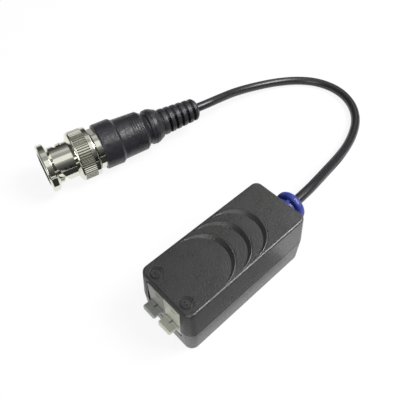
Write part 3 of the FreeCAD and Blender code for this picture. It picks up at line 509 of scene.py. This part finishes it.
def add_ring(shape, radius, width, rise):
    """A low raised ring with sloped sides, drawn about the shape's origin."""
    rows = []
    for step in range(mark_ring_steps):
        turn = Matrix.Rotation(2 * math.pi * step / mark_ring_steps, 3, "Z")
        places = [turn @ Vector((radius + out * width, 0, up * rise)) for out, up in ring_section]
        rows.append([shape.verts.new(place) for place in places])
    for here, after in zip(rows, rows[1:] + rows[:1]):
        for low in range(len(ring_section) - 1):
            shape.faces.new((here[low], after[low], after[low + 1], here[low + 1]))


def add_bar(shape, centre, length, width, rise):
    """A low raised bar, its length in X, which goes down as far as it stands up."""
    size = Matrix.Diagonal((length, width, 2 * rise, 1.0))
    bmesh.ops.create_cube(shape, size=1.0, matrix=Matrix.Translation((*centre, 0)) @ size)


def make_mark(name, side, plus):
    """A raised plus or minus sign in its ring, beside the terminal."""
    shape = bmesh.new()
    add_ring(shape, mark_ring_radius, mark_ring_width, mark_rise)
    add_bar(shape, (0, 0), sign_width, sign_length, mark_rise)
    if plus:
        arm = (sign_length - sign_width) / 2
        for way in (-1, 1):
            add_bar(shape, (way * (sign_width + arm) / 2, 0), arm, sign_width, mark_rise)
    bmesh.ops.translate(shape, verts=shape.verts, vec=(mark_x, side * mark_spread, lid_top))
    mesh = bpy.data.meshes.new(name)
    shape.to_mesh(mesh)
    shape.free()
    mesh.materials.append(finishes["housing"])
    mark = put_in_scene(name, mesh)
    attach(mark, "balun")


# Studio
def make_camera():
    """The camera at the photograph's place, heading, dip and roll."""
    heading = math.radians(camera_heading)
    dip = math.radians(camera_dip)
    level = math.cos(dip)
    sight = Vector((math.sin(heading) * level, math.cos(heading) * level, -math.sin(dip)))
    lens = bpy.data.cameras.new("camera")
    lens.lens = camera_focal_mm
    lens.sensor_width = camera_sensor_mm
    lens.shift_x, lens.shift_y = camera_shift
    lens.clip_start = camera_nearest
    lens.clip_end = camera_farthest
    aim = sight.to_track_quat("-Z", "Y").to_matrix().to_4x4()
    roll = Matrix.Rotation(math.radians(camera_roll), 4, "Z")
    camera = put_in_scene("camera", lens)
    camera.matrix_world = Matrix.Translation(camera_place) @ aim @ roll
    bpy.context.scene.camera = camera


def flat_piece(name, corners, material):
    """One flat face through the corners."""
    mesh = bpy.data.meshes.new(name)
    mesh.from_pydata(corners, [], [range(len(corners))])
    mesh.materials.append(material)
    return put_in_scene(name, mesh)


def make_floor():
    """A pale floor that stays white to the camera, to gloss and to glass, and keeps a soft shadow."""
    finish = Finish("pale_floor")
    seen = finish.add("LightPath", take="Is Camera Ray")
    mirrored = seen.output("Is Glossy Ray")
    through = seen.output("Is Transmission Ray")
    white = (seen + mirrored + through).clamped() * floor_white
    paper = finish.add("BsdfDiffuse", None, {"Color": grey(floor_paper)})
    glow = finish.add("Emission", None, {"Color": grey(1), "Strength": 1.0})
    material = finish.end_in(finish.add("MixShader", None, {0: white, 1: paper, 2: glow}))
    ways = ((-1, -1), (1, -1), (1, 1), (-1, 1))
    corners = [(x * floor_reach, y * floor_reach, 0) for x, y in ways]
    floor = flat_piece("floor", corners, material)


def make_dark_card(name, shade, corners_mm):
    """A dark card that lies just above the floor and darkens what polished metal mirrors there."""
    finish = Finish(name)
    material = finish.end_in(finish.add("BsdfDiffuse", None, {"Color": grey(shade)}))
    corners = [Vector((*corner, card_rise_mm)) * MM for corner in corners_mm]
    card = flat_piece(name, corners, material)
    card.visible_camera = False
    card.visible_diffuse = False
    card.visible_transmission = False
    card.visible_shadow = False


def make_room():
    """A dim studio: a ceiling, dark walls and a wide softbox behind the camera; white past the floor."""
    world = bpy.data.worlds.new("studio")
    bpy.context.scene.world = world
    room = Shading(world, "OutputWorld")
    rise = room.add("SeparateXYZ", None, {0: room.add("TexCoord", take="Generated")}, take="Z")
    share = rise.math("ARCSINE", rise) / (math.pi / 2)
    beyond = room.greys(share, room_beyond)
    behind = room.greys(share, room_behind_camera)
    walls = room.blend(rise.output("Y").between(-room_seam, room_seam), behind, beyond)
    seen = room.add("LightPath", take="Is Camera Ray")
    room.end_in(room.add("Background", None, {"Color": room.blend(seen, walls, grey(1))}))


def make_lamp(name, direction, distance, width, height, power):
    """A soft rectangular lamp that looks at the middle of the object."""
    panel = bpy.data.lights.new(name, "AREA")
    panel.shape = "RECTANGLE"
    panel.size = width
    panel.size_y = height
    panel.energy = power
    lamp = put_in_scene(name, panel)
    away = Vector(direction).normalized()
    lamp.location = lamp_target + away * distance
    lamp.rotation_mode = "QUATERNION"
    lamp.rotation_quaternion = (-away).to_track_quat("-Z", "Y")


make_camera()
dress(frame["nodes"], frame["record"]["subparts"])
make_cable(make_spring(frame["nodes"]["wave_spring"]))
make_mark("plus_mark", side=-1, plus=True)
make_mark("minus_mark", side=1, plus=False)
make_floor()
make_dark_card("plug_card", shade=0.03, corners_mm=((-72, 26), (55, -1), (62, 30), (-65, 57)))
make_dark_card("housing_card", shade=0.22, corners_mm=(
    (-80, -60), (14, -60), (14, -10.5), (-25, -10.5), (-25, 24), (-80, 24)))
make_room()
make_lamp("key", direction=(0.45, -0.41, 0.79), distance=0.6, width=0.26, height=0.26, power=3.5)
make_lamp("rear_glow", direction=(0.661, 0.215, 0.719), distance=0.6, width=0.25, height=0.25, power=0.28)
make_lamp("front_fill", direction=(-0.65, -0.45, 0.45), distance=0.7, width=0.40, height=0.25, power=1.4)
bpy.context.scene.view_settings.view_transform = "Standard"
